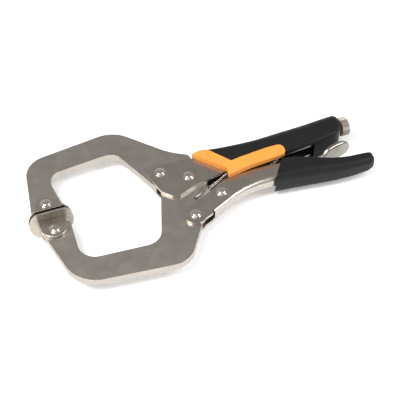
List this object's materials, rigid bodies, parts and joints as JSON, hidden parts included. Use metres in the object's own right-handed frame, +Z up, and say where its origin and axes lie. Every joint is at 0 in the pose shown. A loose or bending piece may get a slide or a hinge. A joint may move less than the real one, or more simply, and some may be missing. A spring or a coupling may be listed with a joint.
{
  "type": "locking C-clamp pliers",
  "caption": "Locking C-clamp pliers: deep-throat plate jaws with swivel pads, a toggle handle, a knurled adjusting screw and a release lever.",
  "frame": {"origin": "middle of the fixed pad's gripping face, on the flat jaws' middle plane", "axes": "+X from the pads to the handles' ends, parallel to the adjusting screw; +Y from the moving jaw to the fixed jaw, square to the fixed pad; +Z up through the flat jaws, with the tool on its side"},
  "size_m": [0.2807, 0.148, 0.0266],
  "materials": {
    "jaw_steel": "forged plate, satin nickel plating",
    "plated_steel": "folded sheet, satin nickel plating",
    "pad_steel": "stamped sheet, satin nickel plating",
    "rivet_steel": "domed rivet heads, bright nickel plating",
    "link_steel": "stamped plate, satin nickel plating",
    "lever_steel": "pressed sheet, satin nickel plating",
    "screw_steel": "turned and knurled, plated",
    "spring_wire": "drawn spring wire, plated",
    "black_rubber": "moulded soft grip, fine matte grain",
    "orange_rubber": "moulded soft grip insert, satin"
  },
  "bodies": {
    "fixed_handle": {"fixed_handle_shell": "plated_steel", "fixed_jaw": "jaw_steel", "fixed_jaw_rivet": "rivet_steel", "main_pivot_rivet": "rivet_steel", "fixed_grip": "black_rubber", "fixed_grip_accent": "orange_rubber", "spring_anchor_pin": "rivet_steel", "tension_spring": "spring_wire", "fixed_pad_rivet": "rivet_steel"},
    "moving_jaw": {"moving_jaw": "jaw_steel", "jaw_handle_rivet": "rivet_steel", "moving_pad_rivet": "rivet_steel"},
    "moving_handle": {"moving_handle_shell": "plated_steel", "moving_grip": "black_rubber", "link_rivet": "rivet_steel", "release_lever_pin": "rivet_steel"},
    "toggle_link": {"toggle_link": "link_steel"},
    "release_lever": {"release_lever": "lever_steel"},
    "adjusting_screw": {"adjusting_screw": "screw_steel"},
    "adjusting_knob": {"adjusting_knob": "screw_steel"},
    "fixed_pad": {"fixed_pad_disc": "pad_steel", "fixed_pad_bracket": "pad_steel"},
    "moving_pad": {"moving_pad_disc": "pad_steel", "moving_pad_bracket": "pad_steel"}
  },
  "joints": [
    {"name": "jaw_pivot", "type": "hinge", "parent": "fixed_handle", "child": "moving_jaw", "pos_m": [0.1145, 0.002, 0], "axis": [0, 0, 1], "range_deg": [0, 32], "deforming": ["tension_spring"]},
    {"name": "handle_pivot", "type": "hinge", "parent": "moving_jaw", "child": "moving_handle", "pos_m": [0.1064, -0.0373, 0], "axis": [0, 0, 1], "range_deg": [-88, 0]},
    {"name": "link_pivot", "type": "hinge", "parent": "moving_handle", "child": "toggle_link", "pos_m": [0.1332, -0.0224, 0], "axis": [0, 0, 1], "range_deg": [0, 81]},
    {"name": "release_lever_pivot", "type": "hinge", "parent": "moving_handle", "child": "release_lever", "pos_m": [0.1977, -0.0156, 0], "axis": [0, 0, 1], "range_deg": [-6, 0]},
    {"name": "screw_slide", "type": "slide", "parent": "fixed_handle", "child": "adjusting_screw", "axis": [1, 0, 0], "range_m": [0, 0.0245]},
    {"name": "knob_turn", "type": "hinge", "parent": "adjusting_screw", "child": "adjusting_knob", "pos_m": [0.2555, 0.0151, 0], "axis": [1, 0, 0], "range_deg": [0, 5760]},
    {"name": "fixed_pad_swivel", "type": "hinge", "parent": "fixed_handle", "child": "fixed_pad", "pos_m": [0, 0.0126, 0], "axis": [0, 0, 1], "range_deg": [-6.5, 6.5]},
    {"name": "moving_pad_swivel", "type": "hinge", "parent": "moving_jaw", "child": "moving_pad", "pos_m": [0, -0.01465, 0], "axis": [0, 0, 1], "range_deg": [-6.5, 6.5]}
  ],
  "couplings": [
    {"joint": "handle_pivot", "follows": "jaw_pivot", "ratio": -2.7377},
    {"joint": "link_pivot", "follows": "jaw_pivot", "ratio": 2.5221},
    {"joint": "screw_slide", "follows": "knob_turn", "m_per_rad": 0.00023873}
  ]
}
